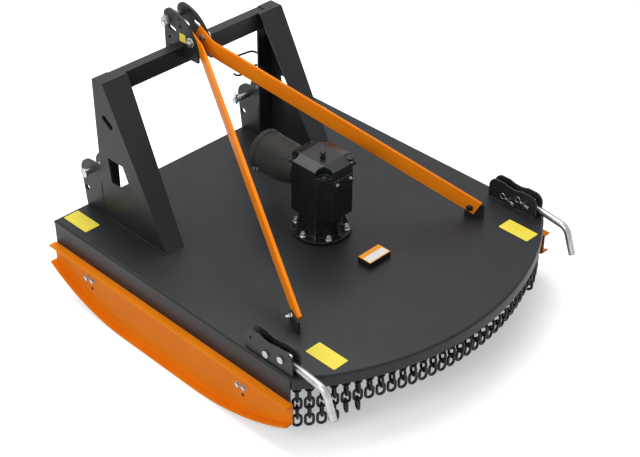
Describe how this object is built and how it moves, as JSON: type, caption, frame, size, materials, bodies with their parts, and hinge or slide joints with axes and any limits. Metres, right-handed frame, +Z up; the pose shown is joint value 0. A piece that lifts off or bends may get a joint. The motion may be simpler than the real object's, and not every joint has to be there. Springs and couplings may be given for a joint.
{
  "type": "tractor mulcher",
  "caption": "Three-point tractor mulcher with a rounded deck, side skids, a braced headstock, chain curtains and a vertical rotor with swinging blades.",
  "frame": {"origin": "on the ground under the rotor's axis, at the centre of the bounding box's bottom", "axes": "+X to the machine's right, +Y forward to the tractor, +Z up"},
  "size_m": [1.68, 1.818, 1.214],
  "materials": {
    "anthracite_paint": "satin powder coat",
    "blade_steel": "hardened, worn",
    "chain_steel": "dark steel",
    "gearbox_iron": "painted casting",
    "guard_plastic": "moulded",
    "orange_paint": "satin powder coat",
    "zinc_steel": "zinc plated"
  },
  "bodies": {
    "frame": {"bracket_inner_left": "anthracite_paint", "bracket_inner_right": "anthracite_paint", "bracket_outer_left": "anthracite_paint", "bracket_outer_right": "anthracite_paint", "clevis_pivot_left": "zinc_steel", "clevis_pivot_right": "zinc_steel", "clevis_rest_left": "zinc_steel", "clevis_rest_right": "zinc_steel", "crossbar": "anthracite_paint", "deck_top": "anthracite_paint", "front_chains": "chain_steel", "front_rim": "anthracite_paint", "gearbox": "gearbox_iron", "id_plate": "orange_paint", "lower_cheek_inner_left": "anthracite_paint", "lower_cheek_inner_right": "anthracite_paint", "lower_cheek_outer_left": "anthracite_paint", "lower_cheek_outer_right": "anthracite_paint", "lower_pin_left": "zinc_steel", "lower_pin_right": "zinc_steel", "pto_guard": "guard_plastic", "rear_chains": "chain_steel", "rear_rim": "anthracite_paint", "shaft_hook": "anthracite_paint", "side_skirt_left": "anthracite_paint", "side_skirt_right": "anthracite_paint", "skid_left": "orange_paint", "skid_right": "orange_paint", "stay_left": "orange_paint", "stay_lug_left": "anthracite_paint", "stay_lug_right": "anthracite_paint", "stay_right": "orange_paint", "top_cheek_left": "anthracite_paint", "top_cheek_right": "anthracite_paint", "top_pin": "zinc_steel", "tower_left": "anthracite_paint", "tower_right": "anthracite_paint"},
    "rotor": {"rotor": "anthracite_paint"},
    "blade_1": {"blade_1": "blade_steel"},
    "blade_2": {"blade_2": "blade_steel"},
    "blade_3": {"blade_3": "blade_steel"},
    "pto_shaft": {"pto_shaft": "zinc_steel"},
    "support_bar_left": {"support_bar_left": "zinc_steel"},
    "support_bar_right": {"support_bar_right": "zinc_steel"}
  },
  "joints": [
    {"name": "rotor_spin", "type": "hinge", "parent": "frame", "child": "rotor", "pos_m": [0, 0, 0.3], "axis": [0, 0, 1], "continuous": true},
    {"name": "blade_swing_1", "type": "hinge", "parent": "rotor", "child": "blade_1", "pos_m": [0, 0.42, 0.121], "axis": [0, 0, 1], "range_deg": [-90, 90]},
    {"name": "blade_swing_2", "type": "hinge", "parent": "rotor", "child": "blade_2", "pos_m": [-0.36373, -0.21, 0.121], "axis": [0, 0, 1], "range_deg": [-90, 90]},
    {"name": "blade_swing_3", "type": "hinge", "parent": "rotor", "child": "blade_3", "pos_m": [0.36373, -0.21, 0.121], "axis": [0, 0, 1], "range_deg": [-90, 90]},
    {"name": "pto_spin", "type": "hinge", "parent": "frame", "child": "pto_shaft", "pos_m": [0, 0.2, 0.626], "axis": [0, 1, 0], "continuous": true},
    {"name": "support_bar_lift_left", "type": "hinge", "parent": "frame", "child": "support_bar_left", "pos_m": [-0.76, -0.47555, 0.404], "axis": [-1, 0, 0], "range_deg": [0, 95]},
    {"name": "support_bar_lift_right", "type": "hinge", "parent": "frame", "child": "support_bar_right", "pos_m": [0.76, -0.47555, 0.404], "axis": [-1, 0, 0], "range_deg": [0, 95]}
  ],
  "couplings": [
    {"joint": "pto_spin", "follows": "rotor_spin", "ratio": 0.5181}
  ]
}
